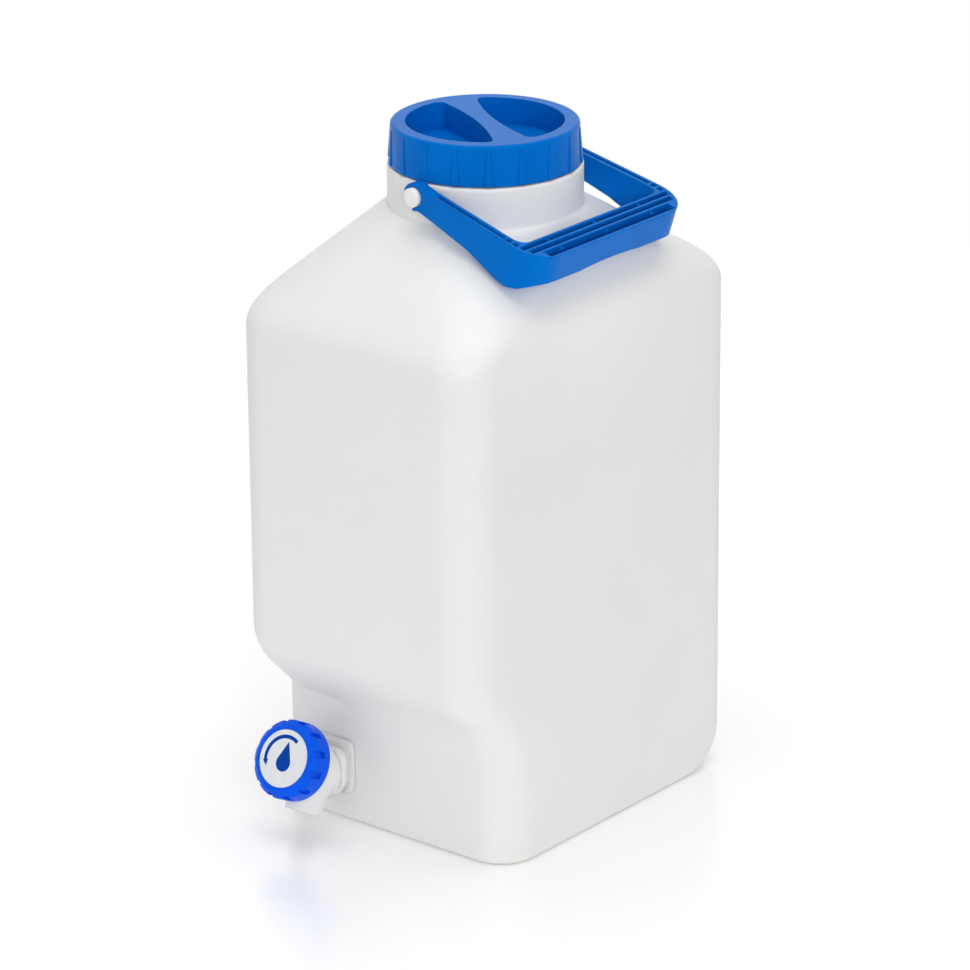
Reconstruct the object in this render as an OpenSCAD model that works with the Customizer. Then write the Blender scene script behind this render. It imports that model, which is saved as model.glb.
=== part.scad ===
// Ten litre square carboy: blow-moulded body with a wide screw neck, a blue
// screw lid, a blue bail handle and a quarter-turn tap in a recess low on the front.
// Millimetres. The carboy stands on z = 0, the neck axis is the Z axis and the
// tap side faces -Y.

/* [Body] */
// Width of the body, left to right
body_w = 157.4; // [150:0.1:180]
// Depth of the body, front to back
body_d = 223.8; // [210:0.1:250]
// Radius of the four upright corners
corner_r = 21.5; // [16:0.5:26]
// Wall thickness of the blown body
wall = 2.4; // [1.8:0.1:3.2]
// Radius of the edge round the base
base_edge_r = 3; // [1.5:0.5:5]
// Height at which the front and back walls turn into the shoulder
front_crease_z = 282; // [270:1:290]
// Height at which the side walls turn into the shoulder
side_crease_z = 286; // [275:1:295]
// Half-height of the soft bend at the shoulder crease
crease_soft = 8; // [4:1:10]
// Height at which the shoulder meets the neck collar
neck_base_z = 327; // [322:1:334]

/* [Tap recess] */
// How far the lower front wall is set back
recess_depth = 29; // [20:1:34]
// Height at which the front wall starts to run back
recess_start_z = 110; // [104:1:120]
// Half-height of the soft bend at the top of the recess
recess_soft = 12.6; // [8:0.2:14]
// Half-height of the soft inner bend beside the tap pad
recess_fillet = 12; // [6:1:14]
// Right edge of the flat pad that the tap is seated on
pad_edge_x = -20; // [-22:1:-16]
// Width over which the pad runs out into the soft inner bend
pad_runout = 14; // [8:1:18]

/* [Neck] */
// Outer radius of the collar below the thread
collar_r = 50.5; // [49.5:0.1:51.1]
// Wall thickness of the collar
collar_wall = 2.8; // [2:0.1:3.4]
// Height of the collar above the shoulder
collar_h = 21; // [20.8:0.1:21.4]
// Radius of the neck over the plain stretch that carries the thread
neck_r = 46.4; // [45.8:0.1:46.8]
// Wall thickness of the neck at the thread
neck_wall = 2.2; // [1.8:0.1:2.3]

/* [Lid] */
// Gap between the collar and the lid's skirt
lid_gap = 0.8; // [0.3:0.1:2]
// Height of the lid
lid_h = 21.1; // [18:0.1:22]
// Radius of the lid at the bottom of its skirt
lid_r = 49.5; // [49.4:0.1:50]
// Draft of the skirt, as the loss of radius from bottom to top
lid_draft = 0.8; // [0.2:0.1:1.2]
// Rounding of the top edge
lid_edge_r = 1.8; // [0.6:0.1:2]
// Thickness of the lid's top plate and web
lid_plate = 2.8; // [2:0.1:3.2]
// Wall thickness of the lid's skirt
lid_skirt = 2; // [1.6:0.1:2.2]
// Number of grip ribs round the skirt
lid_ribs = 18; // [12:1:24]
// How far a grip rib stands out of the skirt
lid_rib_h = 0.8; // [0.3:0.1:0.9]
// Width of a grip rib at the bottom
lid_rib_w = 4.5; // [2.5:0.5:5]
// Depth of the two finger pockets
pocket_depth = 14; // [8:0.5:16]
// Outer radius of the finger pockets
pocket_r = 40.9; // [38:0.1:41.8]
// Half-width of the web between the pockets at its narrowest
web_half = 4.8; // [4:0.1:8]
// Radius of the pockets' inner walls
web_curve_r = 163; // [120:1:220]
// Radius of the pockets' corners
pocket_corner_r = 4; // [2:0.5:8]
// Wall thickness of the finger pockets
pocket_wall = 2; // [1.5:0.1:2.2]
// Direction of the web, seen from above
web_angle = -31; // [-90:1:90]
// Thickness of the lid seal
seal_t = 1.5; // [1:0.1:2.5]

/* [Handle] */
// How far the handle's pivot lies below the top of the collar
pivot_drop = 5.4; // [5.2:0.1:6.2]
// Radius of the studs that the handle turns on
stud_r = 5; // [4:0.1:5.2]
// Distance from the neck axis to the end of a stud
stud_reach = 60.6; // [59.5:0.1:63]
// Angle at which the stored handle hangs below the horizontal
handle_rest = 18; // [15:0.5:18]
// Distance from the neck axis to the inner face of an arm
arm_inner = 51.5; // [51.5:0.1:53]
// Thickness of an arm
arm_t = 6.2; // [5.5:0.1:7]
// How far the arms spread outwards for each millimetre of their length
arm_flare = 0.075; // [0.03:0.005:0.1]
// Distance from the pivot to the outer face of the grip
grip_reach = 86.2; // [84:0.1:90]
// Width of the grip, from its inner to its outer face
grip_w = 17; // [17:0.5:19]
// Height of the grip's open side above the pivot
arm_top = 9.8; // [9:0.1:11]
// How much lower the arms' open side lies beside the pivot
arm_taper = 3; // [0:0.1:4]
// Outer radius of the corners between arms and grip
grip_corner_r = 18; // [12:1:22]
// Wall thickness of the handle moulding
handle_wall = 1.8; // [1.4:0.1:2]
// Thickness of the ribs in the grip
grip_rib = 1.4; // [1:0.1:1.8]
// Spacing of the ribs in the grip
grip_pitch = 4.4; // [3.8:0.1:4.6]
// Spacing of the small bridges along the grip
bridge_pitch = 37; // [28:1:42]

/* [Tap] */
// Distance of the tap to the left of the body's middle
tap_x = -38.7; // [-42:0.1:-37]
// Height of the tap's thread above the ground
tap_z = 31.5; // [29:0.5:36]
// Tilt of the valve and its knob above the horizontal
valve_tilt = 27.5; // [22:0.5:30]
// Width of the square flange moulded into the wall
socket_w = 30; // [29:0.5:34]
// Thickness of that flange
socket_t = 2.5; // [2:0.5:4]
// Radius of the tap's threaded tail
tail_r = 9.5; // [9:0.1:9.9]
// Width of the tap's collar
tap_collar_w = 27; // [26:0.2:29]
// Height of the tap's collar
tap_collar_h = 23; // [22:0.2:26]
// Thickness of the tap's collar
tap_collar_t = 5.5; // [4:0.5:6]
// Outer radius of the valve barrel
barrel_r = 13; // [12:0.5:14]
// Radius of the valve plug
plug_r = 8.9; // [8:0.1:9.4]
// Outer radius of the spout at the barrel
spout_root_r = 12.8; // [11:0.1:13]
// Outer radius of the spout at its mouth
spout_r = 9.7; // [7.5:0.1:10.5]
// Distance from the valve axis to the mouth of the spout
spout_len = 24.8; // [22:0.2:25]
// Bore radius of the spout's mouth
spout_bore_r = 7; // [6:0.1:7.2]
// Depth of that bore
spout_bore_len = 10; // [6:0.5:11]
// Distance from the tap's collar to the face of the knob, along the valve
knob_face = 32.6; // [31.8:0.2:34]
// Radius of the knob
knob_r = 21; // [20.5:0.1:23]
// Length of the knob along its axis
knob_h = 13.4; // [13:0.1:14]
// Number of grip recesses round the knob
knob_recesses = 12; // [6:1:14]
// Radius of the white disc in the knob's face
disc_r = 15.3; // [13:0.1:16]

/* [Fits] */
// Running clearance between turning parts, on the radius
run_clear = 0.1; // [0.04:0.01:0.1]
// Clearance between pieces that are assembled by hand
free_clear = 0.3; // [0.2:0.05:0.4]

/* [Hidden] */
fine = 96;
eps = 0.02;
natural = [0.93, 0.94, 0.95];
blue = [0.02, 0.42, 0.78];
bright_blue = [0.05, 0.25, 0.85];
rubber = [0.15, 0.15, 0.16];

// Body sections
corner_steps = 12;
inner_steps = 6;
recess_end_z = recess_start_z - recess_soft - recess_depth;
front_steps = [for (k = [1 : 9]) k / 10];
wall_y = -(body_d / 2 - recess_depth);
shoulder_soft_z = min(front_crease_z, side_crease_z) - crease_soft;
round_exponent = 1.1;
front_turn = 35;

// Neck and lid
collar_top_z = neck_base_z + collar_h;
lid_bottom_z = collar_top_z + lid_gap;
lid_top_z = lid_bottom_z + lid_h;
lid_under_z = lid_top_z - lid_plate;
seat_gap = 0.1;
neck_top_z = lid_under_z - seal_t - seat_gap;
neck_bore_r = neck_r - neck_wall;
collar_bore_r = collar_r - collar_wall;
lid_bore_r = lid_r - lid_skirt;
rib_pitch = 360 / lid_ribs;
rib_phase = -9;
pocket_floor_z = lid_top_z - pocket_depth;

// Handle
pivot_z = collar_top_z - pivot_drop;
eye_r = stud_r + free_clear;
hook_wall = 2;
hook_r = eye_r + hook_wall;
hook_centre = [0.4, 0.2];
grip_inner = grip_reach - grip_w;
slot_w = grip_pitch - grip_rib;
channel_start = 13;
arm_floor = 2.2;
window_corner_r = 6;

// Tap
tap_seat_y = wall_y - socket_t;
washer_t = 1.5;
collar_corner_r = 7;
tap_back_y = tap_seat_y - washer_t;
valve_y = tap_back_y - tap_collar_t - 1.5;
bore_r = plug_r + run_clear;
barrel_front = 17;
barrel_back = -9;
port_at = 3.6;
port_r = 5;
tail_bore_r = 7;
tail_len = 15;
waterway_r = 4.5;
plug_back = barrel_back + 1.5;
plug_front = 19.6;
drive_half = 4.5;
drive_len = 6;
oring_r = 0.95;
oring_at = [-4.6, 12.6];
knob_back = knob_face - knob_h;
disc_t = 1.1;
recess_w = 3.5;
recess_len = 8;
recess_phase = 21;
screw_r = 1.6;
screw_head_r = 3.8;
screw_head_h = 2.3;

// ---- helpers ----------------------------------------------------------------

function smooth(t) = let (c = max(0, min(1, t))) c * c * (3 - 2 * c);

// Points of an arc from angle a to angle b in n steps
function arc(cx, cy, r, a, b, n) =
    [for (i = [0 : n]) let (t = a + (b - a) * i / n) [cx + r * cos(t), cy + r * sin(t)]];

// A skin over rings that all have the same number of points, closed at both ends
module skin(rings) {
    n = len(rings[0]);
    m = len(rings);
    polyhedron(
        points = [for (ring = rings) for (p = ring) p],
        faces = concat(
            [[for (i = [0 : n - 1]) i]],
            [for (j = [0 : m - 2]) for (i = [0 : n - 1]) let (k = (i + 1) % n)
                each [[j * n + i, (j + 1) * n + k, j * n + k],
                      [j * n + i, (j + 1) * n + i, (j + 1) * n + k]]],
            [[for (i = [n - 1 : -1 : 0]) (m - 1) * n + i]]),
        convexity = 8);
}

module rounded_plate(w, h, t, r) {
    linear_extrude(height = t)
        polygon(concat(arc(w / 2 - r, h / 2 - r, r, 0, 90, 8),
                       arc(-w / 2 + r, h / 2 - r, r, 90, 180, 8),
                       arc(-w / 2 + r, -h / 2 + r, r, 180, 270, 8),
                       arc(w / 2 - r, -h / 2 + r, r, 270, 360, 8)));
}

// ---- body -------------------------------------------------------------------

// How far a wall has moved in at height z, for a slope that starts at crease
// and reaches the collar at the neck
function shoulder_in(half, crease, z) =
    let (slope = (half - collar_r) / (neck_base_z - crease), t = z - crease)
    slope * (t < -crease_soft ? 0
           : t > crease_soft ? t
           : pow(t + crease_soft, 2) / (4 * crease_soft));

// Share of the shoulder's height that lies below z
function shoulder_part(z) =
    max(0, min(1, (z - shoulder_soft_z) / (neck_base_z - shoulder_soft_z)));
function corner_at(z) =
    corner_r + (collar_r - corner_r) * pow(shoulder_part(z), round_exponent);

// Set-back of the front wall: the straight run back at 45 degrees, softened at its top
function run_back(z) =
    z >= recess_start_z ? 0
    : z >= recess_start_z - 2 * recess_soft ? pow(recess_start_z - z, 2) / (4 * recess_soft)
    : recess_start_z - recess_soft - z;
function set_back_sharp(z) = min(run_back(z), recess_depth);
function set_back_soft(z) =
    let (t = z - (recess_end_z - recess_fillet))
    t < 0 ? recess_depth
    : t > 2 * recess_fillet ? run_back(z)
    : recess_depth - t * t / (4 * recess_fillet);
function set_back(x, z) =
    let (k = smooth((x - (pad_edge_x - pad_runout)) / pad_runout))
    (1 - k) * set_back_sharp(z) + k * set_back_soft(z);

// One ring of the body at height z, with its walls moved in by inset
function body_ring(z, inset, steps, at = undef) =
    let (zz = is_undef(at) ? z : at,
         hx = body_w / 2 - shoulder_in(body_w / 2, side_crease_z, zz) - inset,
         hy = body_d / 2 - shoulder_in(body_d / 2, front_crease_z, zz) - inset,
         r = min(corner_at(zz), hx + inset - 0.4, hy + inset - 0.4) - inset,
         left = set_back(-hx, zz),
         right = set_back(hx, zz),
         flat = hx - r,
         turn = front_turn * shoulder_part(zz),
         reach = flat + r * sin(turn))
    concat(
        [for (p = arc(hx - r, hy - r, r, 0, 90, steps)) [p[0], p[1], z]],
        [for (p = arc(-(hx - r), hy - r, r, 90, 180, steps)) [p[0], p[1], z]],
        [for (p = arc(-(hx - r), -(hy - r) + left, r, 180, 270 - turn, steps)) [p[0], p[1], z]],
        [for (s = front_steps) let (x = reach * (2 * s - 1), over = max(0, abs(x) - flat))
            [x, -(hy - r) - sqrt(r * r - over * over) + set_back(x, zz), z]],
        [for (p = arc(hx - r, -(hy - r) + right, r, 270 + turn, 360, steps)) [p[0], p[1], z]]);

outer_levels = concat(
    [for (k = [-1 : 0.25 : 1]) recess_end_z + k * recess_fillet],
    [for (k = [1 : -0.125 : 0]) recess_start_z - k * 2 * recess_soft],
    [shoulder_soft_z - 2],
    [for (k = [-1 : 0.25 : 1.5]) front_crease_z + k * crease_soft],
    [for (k = [1 : 7]) let (z0 = front_crease_z + 1.5 * crease_soft)
        z0 + (neck_base_z - z0) * k / 7]);

module body_outside() {
    skin(concat(
        [for (a = [0 : 30 : 60]) body_ring(base_edge_r * (1 - cos(a)),
            base_edge_r * (1 - sin(a)), corner_steps)],
        [for (z = concat([base_edge_r], outer_levels)) body_ring(z, 0, corner_steps)]));
}

module body_inside() {
    top = neck_base_z - wall;
    z0 = front_crease_z - crease_soft;
    skin(concat(
        [body_ring(wall, wall + base_edge_r, inner_steps)],
        [for (z = concat(
            [wall + base_edge_r],
            [for (k = [-1 : 0.5 : 1]) recess_end_z + k * recess_fillet],
            [for (k = [1 : -0.25 : 0]) recess_start_z - k * 2 * recess_soft]))
            body_ring(z, wall, inner_steps)],
        [for (k = [0 : 8]) let (z = z0 + (top - z0) * k / 8)
            body_ring(z, wall, inner_steps, z + wall / 2)]));
}

module neck_outside() {
    rotate_extrude($fn = fine)
        polygon([[0, neck_base_z - 7], [collar_r, neck_base_z - 7],
                 [collar_r, collar_top_z - 0.8], [collar_r - 0.8, collar_top_z],
                 [neck_r, collar_top_z], [neck_r, neck_top_z - 0.6],
                 [neck_r - 0.6, neck_top_z], [0, neck_top_z]]);
}

module neck_bore() {
    rotate_extrude($fn = fine)
        polygon([[0, neck_base_z - 10], [collar_bore_r, neck_base_z - 10],
                 [collar_bore_r, collar_top_z - 3], [neck_bore_r, collar_top_z + 1],
                 [neck_bore_r, neck_top_z + 2], [0, neck_top_z + 2]]);
}

module stud(side) {
    root = collar_bore_r + 1;
    translate([0, side * root, pivot_z])
        rotate([-side * 90, 0, 0])
            rotate_extrude($fn = 48)
                polygon([[0, 0], [stud_r, 0], [stud_r, stud_reach - root - 0.5],
                         [stud_r - 0.5, stud_reach - root], [0, stud_reach - root]]);
}

module canister() {
    color(natural)
        difference() {
            union() {
                body_outside();
                neck_outside();
                stud(-1);
                stud(1);
            }
            body_inside();
            neck_bore();
            translate([tap_x, wall_y - 5, tap_z])
                rotate([-90, 0, 0]) cylinder(r = socket_tube_r + eps, h = 12, $fn = 64);
        }
}

// ---- lid --------------------------------------------------------------------

// Outline of one finger pocket on the +Y side of the web, grown by g
function pocket_outline(g) =
    let (big_y = web_half + web_curve_r, rc = pocket_corner_r + g,
         r_out = pocket_r + g, r_big = web_curve_r + g,
         cy = (pow(r_out - rc, 2) - pow(r_big - rc, 2) + big_y * big_y) / (2 * big_y),
         cx = sqrt(pow(r_out - rc, 2) - cy * cy),
         a_out = atan2(cy, cx),
         a_big = atan2(cy - big_y, cx))
    concat(
        arc(cx, cy, rc, a_big, a_out, 6),
        arc(0, 0, r_out, a_out, 180 - a_out, 36),
        arc(-cx, cy, rc, 180 - a_out, 180 - a_big, 6),
        arc(0, big_y, r_big, 180 - a_big - 360, a_big, 14));

module both_pockets() {
    for (turn = [0, 180]) rotate([0, 0, web_angle + turn]) children();
}

module lid_rib() {
    top = lid_top_z - lid_edge_r - 1;
    height = top - lid_bottom_z - 0.4;
    foot_r = lid_r - 0.6;
    tip_w = lid_rib_w * 0.35;
    translate([0, 0, lid_bottom_z + 0.4])
        intersection() {
            rotate([90, 0, 90])
                linear_extrude(height = lid_r + lid_rib_h)
                    polygon([[-lid_rib_w / 2, 0], [lid_rib_w / 2, 0],
                             [tip_w / 2, height], [-tip_w / 2, height]]);
            difference() {
                cylinder(r1 = lid_r + lid_rib_h, r2 = lid_r - lid_draft + lid_rib_h / 2,
                         h = height, $fn = fine);
                translate([0, 0, -eps])
                    cylinder(r = foot_r - lid_draft, h = height + 2 * eps, $fn = fine);
            }
        }
}

module lid() {
    top_r = lid_r - lid_draft;
    color(blue)
        difference() {
            union() {
                rotate_extrude($fn = fine)
                    polygon(concat(
                        [[lid_bore_r, lid_bottom_z], [lid_r, lid_bottom_z]],
                        arc(top_r - lid_edge_r, lid_top_z - lid_edge_r, lid_edge_r, 0, 90, 6),
                        [[0, lid_top_z], [0, lid_under_z], [lid_bore_r, lid_under_z]]));
                both_pockets()
                    translate([0, 0, pocket_floor_z - pocket_wall])
                        linear_extrude(height = pocket_depth)
                            polygon(pocket_outline(pocket_wall));
                for (k = [0 : lid_ribs - 1]) rotate([0, 0, k * rib_pitch + rib_phase]) lid_rib();
            }
            both_pockets()
                translate([0, 0, pocket_floor_z])
                    linear_extrude(height = pocket_depth + 1)
                        polygon(pocket_outline(0));
        }
}

module lid_seal() {
    color("white")
        translate([0, 0, lid_under_z - seal_t])
            difference() {
                cylinder(r = lid_bore_r - free_clear, h = seal_t - seat_gap / 2, $fn = fine);
                translate([0, 0, -1])
                    cylinder(r = pocket_r + pocket_wall + free_clear, h = seal_t + 2, $fn = fine);
            }
}

// ---- handle -----------------------------------------------------------------
// Built flat: the pivot is the Y axis, the arms run along +X and the open side is up.

function arm_face(u) = arm_inner + arm_flare * u;
function arm_outer(u) = arm_face(u) + arm_t;
handle_half = arm_outer(grip_reach) + 5;

function handle_outline() =
    let (c = grip_reach - grip_corner_r, y = arm_outer(c) - grip_corner_r)
    concat([[-10, -arm_outer(-10)]],
           arc(c, -y, grip_corner_r, -90, 0, 8),
           arc(c, y, grip_corner_r, 0, 90, 8),
           [[-10, arm_outer(-10)]]);

function handle_window() =
    let (r = window_corner_r, u = grip_inner - r, y = arm_face(u) - r)
    concat([[-12, -arm_face(-12)]],
           arc(u, -y, r, -90, 0, 5),
           arc(u, y, r, 0, 90, 5),
           [[-12, arm_face(-12)]]);

// Side view of the moulding; lift raises its lower edge for the hollow inside
function handle_side(lift) =
    [[0, arm_top - arm_taper], [10, arm_top - arm_taper], [grip_inner - 4, arm_top],
     [grip_reach + 1, arm_top],
     [grip_reach + 1, -5 + lift], [grip_reach - 4, -7.4 + lift],
     [grip_reach - 10, -11 + lift], [grip_reach - 16, -12.4 + lift],
     [grip_reach - 23, -12 + lift], [54, -10 + lift], [42, -7.7 + lift],
     [24, -6.4 + lift], [8, -5.6 + lift], [0, -5.7 + lift]];

module side_prism(points) {
    rotate([90, 0, 0])
        translate([0, 0, -handle_half]) linear_extrude(height = 2 * handle_half)
            polygon(points);
}

module handle_solid() {
    intersection() {
        union() {
            side_prism(handle_side(0));
            rotate([90, 0, 0])
                translate([hook_centre[0], hook_centre[1], -handle_half])
                    cylinder(r = hook_r, h = 2 * handle_half, $fn = 64);
        }
        translate([0, 0, -30])
            linear_extrude(height = 60)
                difference() {
                    polygon(handle_outline());
                    polygon(handle_window());
                }
    }
}

// Hollows that are open upwards: a channel along each arm, short slots at the
// corners and three grooves along the grip
module handle_hollows() {
    first_slot = grip_inner + handle_wall - 0.5 - 2 * grip_pitch;
    slot_len = arm_t - 2 * handle_wall + 0.6;
    intersection() {
        side_prism([for (p = handle_side(arm_floor)) [p[0], p[1] > 2 ? arm_top + 1 : p[1]]]);
        union() {
            for (side = [-1, 1]) scale([1, side, 1])
                translate([0, 0, -20]) linear_extrude(height = 40)
                    polygon([[channel_start, arm_face(channel_start) + handle_wall],
                             [first_slot - grip_rib, arm_face(first_slot) + handle_wall],
                             [first_slot - grip_rib, arm_outer(first_slot) - handle_wall],
                             [channel_start, arm_outer(channel_start) - handle_wall]]);
            for (side = [-1, 1]) for (k = [0, 1])
                translate([first_slot + k * grip_pitch,
                           side * (arm_face(first_slot) + arm_t / 2) - slot_len / 2, -6])
                    cube([slot_w, slot_len, 30]);
        }
    }
    for (k = [2, 3]) difference() {
        half = arm_outer(grip_inner) - handle_wall - (k - 2) * 2.2 - 1;
        translate([first_slot + k * grip_pitch, -half, 0])
            cube([slot_w, 2 * half, 30]);
        if (k == 2) for (j = [-1 : 1])
            translate([first_slot + k * grip_pitch - 1, j * bridge_pitch - grip_rib / 2, -1])
                cube([slot_w + 2, grip_rib, arm_top - 0.2]);
    }
    difference() {
        last = first_slot + 4 * grip_pitch;
        half = arm_outer(grip_reach) - grip_corner_r + 5;
        translate([last, -half, 0])
            cube([grip_reach - handle_wall - last, 2 * half, 30]);
        for (j = [-1 : 1])
            translate([last - 1, j * bridge_pitch - grip_rib / 2, -1])
                cube([2.6, grip_rib, arm_top - 0.2]);
    }
}

module handle_flat() {
    arch_r = 230;
    difference() {
        handle_solid();
        handle_hollows();
        // eyes that snap over the studs
        translate([0, handle_half, 0]) rotate([90, 0, 0])
            cylinder(r = eye_r, h = 2 * handle_half, $fn = 64);
        side_prism([[1.2, -0.4], [-20, 0.2], [-20, -20], [1.2, -20]]);
        // the grip is arched along its underside
        translate([grip_inner - 6, 0, -4.2 - arch_r])
            rotate([0, 90, 0]) intersection() {
                cylinder(r = arch_r, h = 40, $fn = 128);
                translate([-arch_r - 1, -arm_inner, -1]) cube([arch_r, 2 * arm_inner, 60]);
            }
    }
}

module handle() {
    color(blue)
        translate([0, 0, pivot_z]) rotate([0, handle_rest, 0]) handle_flat();
}

// ---- tap --------------------------------------------------------------------

socket_tube_r = tail_r + 2.4;

// Puts its children in the valve's frame: +Z is the valve axis, towards the knob,
// and -Y is the way the spout points
module valve_frame() {
    translate([tap_x, valve_y, tap_z]) rotate([90 - valve_tilt, 0, 0]) children();
}

// Flange and threaded sleeve that are moulded into the wall of the body
module tap_socket() {
    inner_y = wall_y + wall;
    color(natural)
        translate([tap_x, 0, tap_z])
            difference() {
                union() {
                    translate([0, tap_seat_y, 0]) rotate([-90, 0, 0])
                        rounded_plate(socket_w, socket_w, socket_t, 5);
                    translate([0, wall_y, 0]) rotate([-90, 0, 0])
                        cylinder(r = socket_tube_r, h = tail_len - socket_t - 1, $fn = 64);
                    translate([0, inner_y + eps, 0]) rotate([-90, 0, 0])
                        cylinder(r = socket_tube_r + 2.5, h = 2, $fn = 64);
                }
                translate([0, tap_seat_y - 1, 0]) rotate([-90, 0, 0])
                    cylinder(r = tail_r + run_clear, h = tail_len + 10, $fn = 64);
            }
}

module tap_washer() {
    color("white")
        translate([tap_x, tap_back_y, tap_z]) rotate([-90, 0, 0])
            difference() {
                rounded_plate(tap_collar_w - 1.2, tap_collar_h - 1.2, washer_t, collar_corner_r - 0.6);
                translate([0, 0, -1]) cylinder(r = tail_r + free_clear, h = washer_t + 2, $fn = 64);
            }
}

module tap_body() {
    color(natural)
        difference() {
            union() {
                translate([tap_x, tap_back_y - tap_collar_t, tap_z]) rotate([-90, 0, 0])
                    rounded_plate(tap_collar_w, tap_collar_h, tap_collar_t, collar_corner_r);
                translate([tap_x, tap_back_y - 1, tap_z]) rotate([-90, 0, 0])
                    cylinder(r = tail_r, h = tail_len + 1, $fn = 64);
                intersection() {
                    valve_frame() translate([0, 0, barrel_back - 4])
                        cylinder(r = barrel_r, h = barrel_front - barrel_back + 4, $fn = 64);
                    translate([tap_x - 30, tap_back_y - 60, tap_z - 40])
                        cube([60, 60, 80]);
                }
                valve_frame() translate([0, 0, port_at]) rotate([90, 0, 0])
                    cylinder(r1 = spout_root_r, r2 = spout_r, h = spout_len, $fn = 64);
            }
            valve_frame() {
                translate([0, 0, barrel_back]) cylinder(r = bore_r, h = 60, $fn = 64);
                translate([0, 0, port_at]) rotate([90, 0, 0])
                    cylinder(r = waterway_r, h = spout_len + 1, $fn = 64);
                translate([0, 0, port_at]) rotate([90, 0, 0])
                    translate([0, 0, spout_len - spout_bore_len])
                        cylinder(r = spout_bore_r, h = spout_bore_len + 1, $fn = 64);
            }
            translate([tap_x, valve_y + 2, tap_z - 1]) rotate([-90, 0, 0])
                cylinder(r = tail_bore_r, h = 60, $fn = 64);
        }
}

module valve_plug() {
    color(natural)
        valve_frame()
            difference() {
                union() {
                    translate([0, 0, plug_back])
                        cylinder(r = plug_r, h = plug_front - plug_back, $fn = 64);
                    translate([-drive_half, -drive_half, plug_front - 1])
                        cube([2 * drive_half, 2 * drive_half, drive_len + 1]);
                }
                // waterway: in from the back, out of one side
                translate([0, 0, plug_back - 1])
                    cylinder(r = port_r, h = port_at - plug_back + 1 + port_r, $fn = 48);
                translate([0, 0, port_at]) rotate([0, 90, 0])
                    cylinder(r = port_r - 0.5, h = 20, $fn = 48);
                for (z = oring_at) translate([0, 0, z]) rotate_extrude($fn = 64)
                    translate([plug_r - 2 * oring_r, -oring_r - 0.1])
                        square([4, 2 * oring_r + 0.2]);
                translate([0, 0, plug_front - 8]) cylinder(r = screw_r + 0.1, h = 30, $fn = 32);
            }
}

module plug_orings() {
    color(rubber)
        valve_frame()
            for (z = oring_at) translate([0, 0, z])
                rotate_extrude($fn = 64)
                    translate([plug_r - oring_r + 0.03, 0]) circle(r = oring_r, $fn = 24);
}

module knob_recess() {
    translate([knob_r - 1.6, -recess_w / 2, knob_face - recess_len])
        cube([6, recess_w, recess_len + 5]);
}

module tap_knob() {
    skirt_in = knob_r - 2.4;
    plate_z = knob_face - 5.4;
    hub_z = plug_front + 0.8;
    color(bright_blue)
        valve_frame()
            difference() {
                union() {
                    rotate_extrude($fn = fine)
                        polygon(concat(
                            [[skirt_in, knob_back]],
                            arc(knob_r - 1.2, knob_back + 1.2, 1.2, -90, 0, 4),
                            [[knob_r, knob_face - 3.2], [knob_r - 0.6, knob_face - 2.2],
                             [knob_r - 2.6, knob_face - 0.6], [knob_r - 3.6, knob_face],
                             [0, knob_face], [0, plate_z], [skirt_in, plate_z]]));
                    translate([0, 0, hub_z])
                        cylinder(r = drive_half * 1.4142 + 2, h = plate_z - hub_z + 1, $fn = 48);
                }
                for (k = [0 : knob_recesses - 1])
                    rotate([0, 0, recess_phase + k * 360 / knob_recesses]) knob_recess();
                translate([0, 0, knob_face - disc_t - 0.1])
                    cylinder(r = disc_r + 0.15, h = 5, $fn = fine);
                translate([0, 0, plug_front + drive_len + 1.4])
                    cylinder(r = screw_head_r + free_clear, h = 20, $fn = 48);
                translate([0, 0, hub_z - 1]) cylinder(r = screw_r + 0.2, h = 20, $fn = 32);
                translate([-drive_half - run_clear, -drive_half - run_clear, hub_z - 1])
                    cube([2 * (drive_half + run_clear), 2 * (drive_half + run_clear),
                          plug_front + drive_len + 0.1 - hub_z + 1]);
            }
}

module knob_screw() {
    head_z = plug_front + drive_len + 1.4;
    color("silver")
        valve_frame()
            difference() {
                union() {
                    translate([0, 0, head_z]) cylinder(r = screw_head_r, h = screw_head_h, $fn = 48);
                    translate([0, 0, plug_front - 6]) 
                        cylinder(r = screw_r, h = head_z - plug_front + 7, $fn = 32);
                }
                for (a = [0, 90]) rotate([0, 0, a])
                    translate([-2.2, -0.5, head_z + screw_head_h - 1.2]) cube([4.4, 1, 3]);
            }
}

module knob_disc() {
    color("white")
        valve_frame() translate([0, 0, knob_face - disc_t])
            cylinder(r = disc_r, h = disc_t - 0.1, $fn = fine);
}

canister();
lid();
lid_seal();
handle();
tap_socket();
tap_washer();
tap_body();
valve_plug();
plug_orings();
tap_knob();
knob_screw();
knob_disc();
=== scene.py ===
import math
import bmesh
import bpy
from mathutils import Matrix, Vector


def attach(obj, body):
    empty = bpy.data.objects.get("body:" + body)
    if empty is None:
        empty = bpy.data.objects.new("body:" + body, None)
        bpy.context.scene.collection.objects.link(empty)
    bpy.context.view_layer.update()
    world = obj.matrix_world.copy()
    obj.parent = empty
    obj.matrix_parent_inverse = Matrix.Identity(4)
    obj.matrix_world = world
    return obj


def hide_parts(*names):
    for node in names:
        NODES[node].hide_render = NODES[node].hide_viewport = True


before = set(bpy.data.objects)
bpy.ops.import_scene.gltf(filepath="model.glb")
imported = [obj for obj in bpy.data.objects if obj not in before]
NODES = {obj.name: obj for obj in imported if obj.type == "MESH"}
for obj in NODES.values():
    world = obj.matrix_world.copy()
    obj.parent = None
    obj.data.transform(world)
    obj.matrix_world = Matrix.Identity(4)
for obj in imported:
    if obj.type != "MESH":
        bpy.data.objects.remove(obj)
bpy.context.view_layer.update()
MM = 0.001

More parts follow.
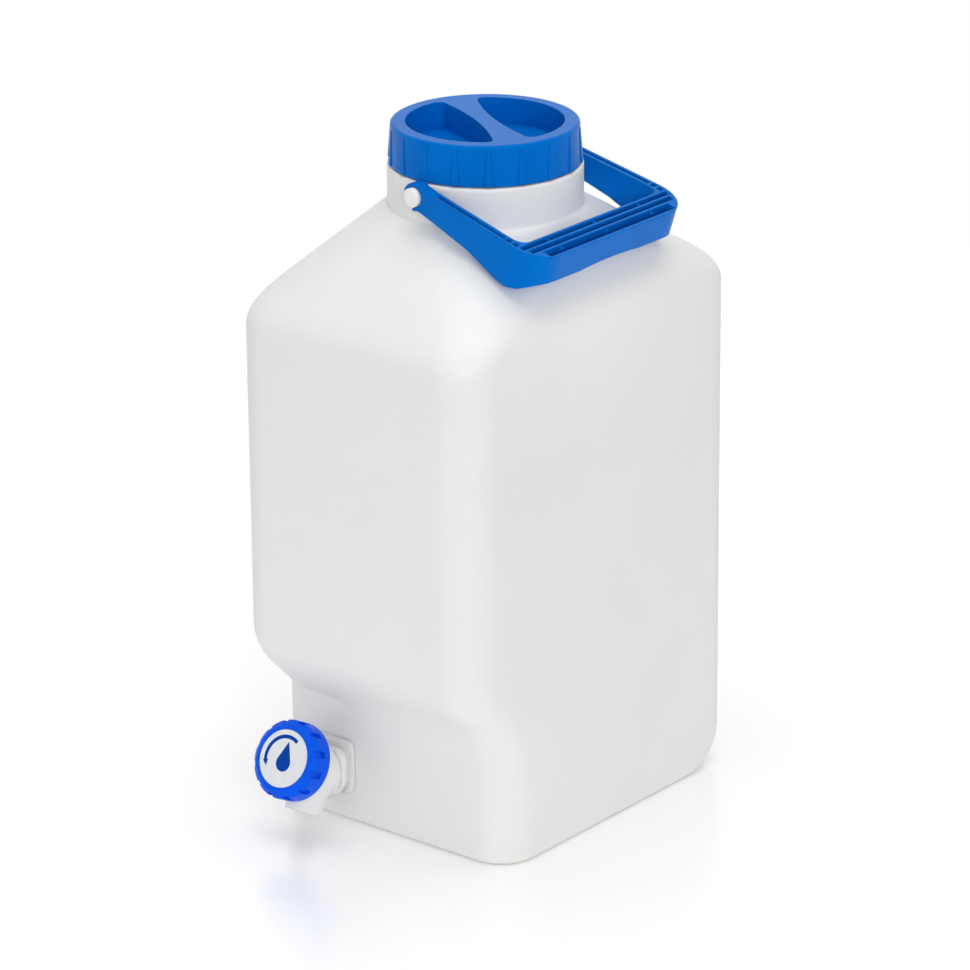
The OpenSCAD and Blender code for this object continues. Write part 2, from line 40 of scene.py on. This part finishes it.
# ---- sizes shared with the CAD, in millimetres --------------------------------
LID_BORE = 47.5                       # inside of the lid's skirt
NECK_R = 46.4                         # outside of the neck
PITCH = 6.0                           # rise of the lid in one turn
TILT = math.radians(27.5)             # of the tap's barrel, above level
VALVE = Vector((-38.7, -93.9, 31.5))  # a point on the barrel's axis
VALVE_OUT = Vector((0.0, -math.cos(TILT), math.sin(TILT)))
VALVE_UP = Vector((0.0, math.sin(TILT), math.cos(TILT)))
DISC_FACE = 32.5                      # from VALVE to the knob's white disc
BODY_HALF_W, BODY_HALF_D = 78.7, 111.9
CORNER_R = 21.5                       # of the body's upright corners
WALL = 2.4


# ---- node helpers -------------------------------------------------------------
def material(name, base, rough, **more):
    """A new material with its node tree and its Principled shader."""
    m = bpy.data.materials.new(name)
    m.use_nodes = True
    m.diffuse_color = (*base, 1)
    nt = m.node_tree
    p = nt.nodes["Principled BSDF"]
    p.inputs["Base Color"].default_value = (*base, 1)
    p.inputs["Roughness"].default_value = rough
    for key, value in more.items():
        p.inputs[key.replace("_", " ")].default_value = value
    return m, nt, p


def add(nt, kind, **values):
    """A new node, with its properties set."""
    n = nt.nodes.new(kind)
    for key, value in values.items():
        setattr(n, key, value)
    return n


def noise(nt, scale, detail):
    co = add(nt, "ShaderNodeTexCoord")
    n = add(nt, "ShaderNodeTexNoise")
    n.inputs["Scale"].default_value = scale
    n.inputs["Detail"].default_value = detail
    nt.links.new(co.outputs["Object"], n.inputs["Vector"])
    return n.outputs["Fac"]


def spread(nt, fac, low, high, from_low=0.3, from_high=0.7):
    """Maps a value from one range to another, and holds it at the ends."""
    r = add(nt, "ShaderNodeMapRange")
    r.inputs["From Min"].default_value = from_low
    r.inputs["From Max"].default_value = from_high
    r.inputs["To Min"].default_value = low
    r.inputs["To Max"].default_value = high
    nt.links.new(fac, r.inputs["Value"])
    return r.outputs["Result"]


def tint(nt, fac, low, high):
    """Blends two near colours by a noise value."""
    r = add(nt, "ShaderNodeValToRGB")
    r.color_ramp.elements[0].position = 0.3
    r.color_ramp.elements[1].position = 0.7
    r.color_ramp.elements[0].color = (*low, 1)
    r.color_ramp.elements[1].color = (*high, 1)
    nt.links.new(fac, r.inputs["Fac"])
    return r.outputs["Color"]


def soft_edges(nt, radius):
    """The normal of edges rounded by radius, in metres."""
    b = add(nt, "ShaderNodeBevel", samples=8)
    b.inputs["Radius"].default_value = radius
    return b.outputs["Normal"]


def bump(nt, p, layers, normal=None):
    """Layers of (height, strength, distance), one on top of the other."""
    for fac, strength, distance in layers:
        b = add(nt, "ShaderNodeBump")
        b.inputs["Strength"].default_value = strength
        b.inputs["Distance"].default_value = distance
        nt.links.new(fac, b.inputs["Height"])
        if normal is not None:
            nt.links.new(normal, b.inputs["Normal"])
        normal = b.outputs["Normal"]
    nt.links.new(normal, p.inputs["Normal"])


# ---- materials ----------------------------------------------------------------
def natural_plastic():
    """Milky polyethylene: slightly cloudy and uneven, as blown walls are."""
    m, nt, p = material("natural_polyethylene", (0.80, 0.80, 0.785), 0.44,
                        Subsurface_Weight=0.2, Subsurface_Scale=0.006, IOR=1.47)
    p.inputs["Subsurface Radius"].default_value = (1.0, 0.98, 0.93)
    cloud = noise(nt, 14.0, 2.0)
    grain = noise(nt, 900.0, 3.0)
    nt.links.new(tint(nt, cloud, (0.79, 0.79, 0.772), (0.81, 0.81, 0.795)),
                 p.inputs["Base Color"])
    nt.links.new(spread(nt, grain, 0.40, 0.48), p.inputs["Roughness"])
    soft = soft_edges(nt, 0.003)
    bump(nt, p, [(noise(nt, 9.0, 1.0), 0.2, 0.0012), (grain, 0.12, 0.00006)], soft)
    return m


def blue_plastic(name, low, high, rough):
    """Moulded blue plastic with a deep colour and few white reflections."""
    m, nt, p = material(name, high, rough, IOR=1.18)
    p.inputs["Specular Tint"].default_value = (0.12, 0.6, 1.0, 1)
    grain = noise(nt, 1300.0, 3.0)
    nt.links.new(tint(nt, noise(nt, 40.0, 2.0), low, high), p.inputs["Base Color"])
    nt.links.new(spread(nt, grain, rough - 0.05, rough + 0.06), p.inputs["Roughness"])
    soft = soft_edges(nt, 0.0008)
    bump(nt, p, [(noise(nt, 60.0, 1.0), 0.15, 0.0002), (grain, 0.15, 0.00005)], soft)
    return m


def plain(name, low, high, rough, scale, metal=0.0, ior=1.45):
    """A fine-grained material whose grain has the given scale."""
    m, nt, p = material(name, high, rough, Metallic=metal, IOR=ior)
    grain = noise(nt, scale, 4.0)
    nt.links.new(tint(nt, grain, low, high), p.inputs["Base Color"])
    nt.links.new(spread(nt, grain, rough - 0.06, rough + 0.06), p.inputs["Roughness"])
    bump(nt, p, [(grain, 0.2, 0.00006)])
    return m


NATURAL = natural_plastic()
BLUE = blue_plastic("blue_moulding", (0.0, 0.135, 0.52), (0.0, 0.15, 0.57), 0.3)
KNOB = blue_plastic("knob_blue", (0.003, 0.085, 0.74), (0.005, 0.1, 0.82), 0.28)
RUBBER = plain("black_rubber", (0.012, 0.012, 0.013), (0.03, 0.03, 0.032), 0.7, 700.0)
SEAL = plain("seal_foam", (0.70, 0.70, 0.68), (0.80, 0.80, 0.78), 0.75, 1500.0)
STEEL = plain("screw_steel", (0.50, 0.50, 0.51), (0.62, 0.62, 0.63), 0.3, 900.0, metal=1.0)
DISC = plain("disc_white", (0.70, 0.72, 0.76), (0.74, 0.76, 0.80), 0.32, 300.0)
INK = plain("disc_ink", (0.0, 0.045, 0.32), (0.0, 0.055, 0.38), 0.35, 500.0, ior=1.15)

LOOKS = {"canister": NATURAL, "tap_socket": NATURAL, "tap_body": NATURAL,
         "valve_plug": NATURAL, "lid": BLUE, "handle": BLUE, "tap_knob": KNOB,
         "lid_seal": SEAL, "tap_washer": SEAL, "plug_orings": RUBBER,
         "knob_screw": STEEL, "knob_disc": DISC}
for name, look in LOOKS.items():
    ob = NODES[name]
    if not ob.data.materials:
        ob.data.materials.append(look)
    for slot in ob.material_slots:
        slot.material = look


# ---- mesh helper ---------------------------------------------------------------
def piece(name, verts, faces, look, body, smooth=True):
    """A piece from points in mm, that rides on a body and has a material slot."""
    me = bpy.data.meshes.new(name)
    me.from_pydata([Vector(v) * MM for v in verts], [], faces)
    me.materials.append(look)
    bm = bmesh.new()
    bm.from_mesh(me)
    bmesh.ops.recalc_face_normals(bm, faces=bm.faces)
    bm.to_mesh(me)
    bm.free()
    for poly in me.polygons:
        poly.use_smooth = smooth
    ob = bpy.data.objects.new(name, me)
    bpy.context.scene.collection.objects.link(ob)
    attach(ob, body)
    return ob


# ---- threads of neck and lid -----------------------------------------------------
THREAD_CREST, THREAD_FOOT = 0.45, 1.2  # half widths of a ridge
THREAD_ROOT = 1.35                     # half width of what lies in the wall
THREAD_SINK = 0.25                     # how deep in the wall it lies
THREAD_GAP = 0.25                      # from a ridge's crest to the other wall
THREAD_STEPS = 60                      # in one turn
THREAD_RUNOUT = 8.0                    # steps over which a ridge fades in or out


def thread(name, root, crest, z0, turns, phase, look, body):
    """A helical ridge that runs out at both ends; crest < root makes an inner one."""
    verts, faces = [], []
    total = int(turns * THREAD_STEPS)
    hidden = root - (THREAD_SINK if crest > root else -THREAD_SINK)
    for k in range(total + 1):
        a = phase + 2 * math.pi * k / THREAD_STEPS
        fade = min(1.0, k / THREAD_RUNOUT, (total - k) / THREAD_RUNOUT)
        z = z0 + PITCH * k / THREAD_STEPS
        top = root + (crest - root) * max(fade, 0.02)
        for r, dz in ((hidden, -THREAD_ROOT), (root, -THREAD_FOOT), (top, -THREAD_CREST),
                      (top, THREAD_CREST), (root, THREAD_FOOT), (hidden, THREAD_ROOT)):
            verts.append((r * math.cos(a), r * math.sin(a), z + dz))
    for k in range(total):
        for j in range(6):
            i, n = k * 6 + j, k * 6 + (j + 1) % 6
            faces.append((i, n, n + 6, i + 6))
    faces.append(tuple(range(6)))
    faces.append(tuple(total * 6 + j for j in range(6)))
    return piece(name, verts, faces, look, body)


# the lid's ridge lies half a pitch from the neck's
thread("neck_thread", NECK_R, LID_BORE - THREAD_GAP, z0=351.5, turns=1.75, phase=0.0,
       look=NATURAL, body="vessel")
thread("lid_thread", LID_BORE, NECK_R + THREAD_GAP, z0=351.2, turns=1.6, phase=math.pi,
       look=BLUE, body="lid_body")


# ---- marks on the knob's disc ------------------------------------------------------
INK_BELOW, INK_ABOVE = -0.05, 0.06     # the ink's two faces, from the disc's own


def on_disc(points, height):
    """Points given in the disc's own plane, in mm, lifted by height."""
    o = VALVE + VALVE_OUT * (DISC_FACE + height)
    return [o + Vector((1, 0, 0)) * x + VALVE_UP * y for x, y in points]


def print_on_disc(name, outline):
    low, high = on_disc(outline, INK_BELOW), on_disc(outline, INK_ABOVE)
    n = len(outline)
    faces = [tuple(range(n)), tuple(n + i for i in range(n))]
    faces += [(i, (i + 1) % n, n + (i + 1) % n, n + i) for i in range(n)]
    return piece(name, low + high, faces, INK, "valve", smooth=False)


def polar(r, degrees):
    return r * math.cos(math.radians(degrees)), r * math.sin(math.radians(degrees))


def arrow_on_disc(name, inner, outer, start, end, steps=24, head=17):
    """An arc arrow from start to end degrees, with a head of that many degrees."""
    turn = [start + (end - start) * k / steps for k in range(steps + 1)]
    mid, wing = (inner + outer) / 2, (outer - inner) * 0.75
    outline = [polar(outer, a) for a in turn]
    outline += [polar(outer + wing / 2, end), polar(mid, end + head),
                polar(inner - wing / 2, end)]
    outline += [polar(inner, a) for a in reversed(turn)]
    return print_on_disc(name, outline)


def drop_on_disc(name, x, y, r, tip, steps=32):
    """A drop: a circle at x, y, drawn out to a point at tip above its centre."""
    side = math.degrees(math.acos(r / tip))
    outline = []
    for k in range(steps + 1):
        px, py = polar(r, 90 + side + (360 - 2 * side) * k / steps)
        outline.append((x + px, y + py))
    outline.append((x, y + tip))
    return print_on_disc(name, outline)


arrow_on_disc("disc_arrow", inner=10.6, outer=12.6, start=60, end=195)
drop_on_disc("disc_drop", x=0.6, y=-2.2, r=4.6, tip=11.5)


# ---- the canister's rounded heel -------------------------------------------------
HEEL_DEPTH, HEEL_HEIGHT = 27.0, 21.0
HEEL_LEVELS = (0.02, 0.07, 0.14, 0.24, 0.38, 0.56, 0.76, 1.0)  # shares of its height
CORNER_X, CORNER_Y = BODY_HALF_W - CORNER_R, BODY_HALF_D - CORNER_R
INNER_RISE = 1.7                       # the inner face follows the heel this much higher
HEEL_MARGIN = 4.0                      # above the heel no point of the wall moves


def heel(z):
    """How far the back wall is drawn in at height z."""
    t = (HEEL_HEIGHT - max(0.0, z)) / HEEL_HEIGHT
    return HEEL_DEPTH * (1 - math.sqrt(1 - t * t)) if t > 0 else 0.0


def on_inner_face(x, y, z):
    """Whether a point of the back half lies nearer the inside of the wall."""
    half = WALL / 2
    if z < half:
        return False
    if math.hypot(max(0, abs(x) - CORNER_X), y - CORNER_Y) < CORNER_R - half:
        return True
    return abs(x) < BODY_HALF_W - half and y < CORNER_Y


def heeled_canister():
    """The canister with the foot of its back wall drawn in, as one closed shell."""
    bm = bmesh.new()
    bm.from_mesh(NODES["canister"].data)
    for k in HEEL_LEVELS:
        bmesh.ops.bisect_plane(bm, geom=bm.verts[:] + bm.edges[:] + bm.faces[:],
                               plane_co=(0, 0, k * HEEL_HEIGHT * MM), plane_no=(0, 0, 1))
    for v in bm.verts:
        x, y, z = (c / MM for c in v.co)
        if z > HEEL_HEIGHT + HEEL_MARGIN or y <= 0:
            continue
        level = z - INNER_RISE if on_inner_face(x, y, z) else z
        v.co.y -= heel(level) * min(1.0, y / CORNER_Y) * MM
    me = bpy.data.meshes.new("canister_shell")
    bm.to_mesh(me)
    bm.free()
    for name in ("custom_normal", "sharp_edge", "sharp_face"):
        if name in me.attributes:
            me.attributes.remove(me.attributes[name])
    for poly in me.polygons:
        poly.use_smooth = True
    me.set_sharp_from_angle(angle=math.radians(25))
    me.materials.clear()
    me.materials.append(NATURAL)
    ob = bpy.data.objects.new("canister_shell", me)
    bpy.context.scene.collection.objects.link(ob)
    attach(ob, "vessel")
    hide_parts("canister")
    return ob


heeled_canister()

# ---- camera, fitted to the photo's outline -----------------------------------------
CAMERA_PLACE = (1.548788, -1.903976, 1.086243)   # metres
CAMERA_ANGLES = (69.5451, 0.4491, 38.9835)       # degrees: tilt, roll and pan

cam = bpy.data.objects.new("camera", bpy.data.cameras.new("camera"))
bpy.context.scene.collection.objects.link(cam)
cam.data.sensor_width = 36.0
cam.data.lens = 185.49
cam.data.clip_end = 100.0
cam.data.shift_x = -0.001
cam.location = CAMERA_PLACE
cam.rotation_euler = [math.radians(a) for a in CAMERA_ANGLES]
bpy.context.scene.camera = cam

# ---- floor -----------------------------------------------------------------------
FLOOR_R = 1.0
FLOOR_DROP = 0.0002                    # keeps it clear of the canister's base
FLOOR_GLOW = 0.09                      # everywhere and for every ray
FAR_GLOW = 0.1                         # more of it far away, for the camera's rays only
GLOW_FROM, GLOW_TO = 0.15, 0.45        # metres from the body's axis

floor_mat, nt, p = material("studio_floor", (0.95, 0.95, 0.95), 0.24, IOR=2.7,
                            Emission_Color=(1, 1, 1, 1), Emission_Strength=FLOOR_GLOW)
nt.links.new(spread(nt, noise(nt, 3.0, 1.0), 0.22, 0.26), p.inputs["Roughness"])
away = add(nt, "ShaderNodeVectorMath", operation="LENGTH")
nt.links.new(add(nt, "ShaderNodeTexCoord").outputs["Object"], away.inputs[0])
glow = add(nt, "ShaderNodeMath", operation="MULTIPLY_ADD")
nt.links.new(spread(nt, away.outputs["Value"], 0.0, FAR_GLOW, GLOW_FROM, GLOW_TO),
             glow.inputs[0])
nt.links.new(add(nt, "ShaderNodeLightPath").outputs["Is Camera Ray"], glow.inputs[1])
glow.inputs[2].default_value = FLOOR_GLOW
nt.links.new(glow.outputs["Value"], p.inputs["Emission Strength"])

me = bpy.data.meshes.new("studio_floor")
rim = [(FLOOR_R * math.cos(math.radians(k)), FLOOR_R * math.sin(math.radians(k)), 0)
       for k in range(0, 360, 5)]
me.from_pydata(rim, [], [tuple(range(len(rim)))])
me.materials.append(floor_mat)
floor = bpy.data.objects.new("studio_floor", me)
bpy.context.scene.collection.objects.link(floor)
floor.location.z = -FLOOR_DROP


# ---- lights ----------------------------------------------------------------------
def lamp(name, kind, where, to, power):
    """A lamp at a place, in metres, that points at another."""
    data = bpy.data.lights.new(name, kind)
    data.energy = power
    ob = bpy.data.objects.new(name, data)
    ob.location = where
    ob.rotation_euler = (Vector(to) - Vector(where)).to_track_quat("-Z", "Y").to_euler()
    bpy.context.scene.collection.objects.link(ob)
    return data


top = lamp("top", "AREA", (0.0, 0.0, 2.6), (0, 0, 0.1), 27.0)
top.size = 2.0

key = lamp("key", "AREA", (1.9, -1.68, 1.1), (0, 0, 0.2), 20.5)
key.size = 0.9

low_fill = lamp("low_fill", "AREA", (-0.5, -1.9, 0.35), (0, -0.08, 0.08), 2.4)
low_fill.shape = "RECTANGLE"
low_fill.size = 1.2
low_fill.size_y = 0.5

# lightens the shoulder and the collar that the handle and the lid shade
under = lamp("under_the_handle", "SPOT", (1.9, -0.95, 0.8), (0.06, -0.01, 0.325), 26.0)
under.spot_size = math.radians(5.2)
under.spot_blend = 1.0
under.shadow_soft_size = 0.05


# ---- world: white to the camera and in reflections, dimmer as a light ----------------
WORLD_SEEN, WORLD_LIGHT = 1.0, 0.5


def background(nt, strength):
    b = add(nt, "ShaderNodeBackground")
    b.inputs["Color"].default_value = (1, 1, 1, 1)
    b.inputs["Strength"].default_value = strength
    return b.outputs["Background"]


world = bpy.data.worlds.new("studio")
bpy.context.scene.world = world
world.use_nodes = True
wn = world.node_tree
wn.nodes.clear()
ray = add(wn, "ShaderNodeLightPath")
either = add(wn, "ShaderNodeMath", operation="MAXIMUM")
mix = add(wn, "ShaderNodeMixShader")
out = add(wn, "ShaderNodeOutputWorld")
wn.links.new(ray.outputs["Is Camera Ray"], either.inputs[0])
wn.links.new(ray.outputs["Is Glossy Ray"], either.inputs[1])
wn.links.new(either.outputs["Value"], mix.inputs["Fac"])
wn.links.new(background(wn, WORLD_LIGHT), mix.inputs[1])
wn.links.new(background(wn, WORLD_SEEN), mix.inputs[2])
wn.links.new(mix.outputs["Shader"], out.inputs["Surface"])

# ---- render settings -------------------------------------------------------------
scene = bpy.context.scene
scene.render.engine = "CYCLES"
scene.cycles.samples = 192
scene.cycles.use_denoising = True
scene.render.resolution_x = 970
scene.render.resolution_y = 970
scene.view_settings.view_transform = "Standard"
scene.view_settings.look = "None"
scene.view_settings.exposure = 0.0
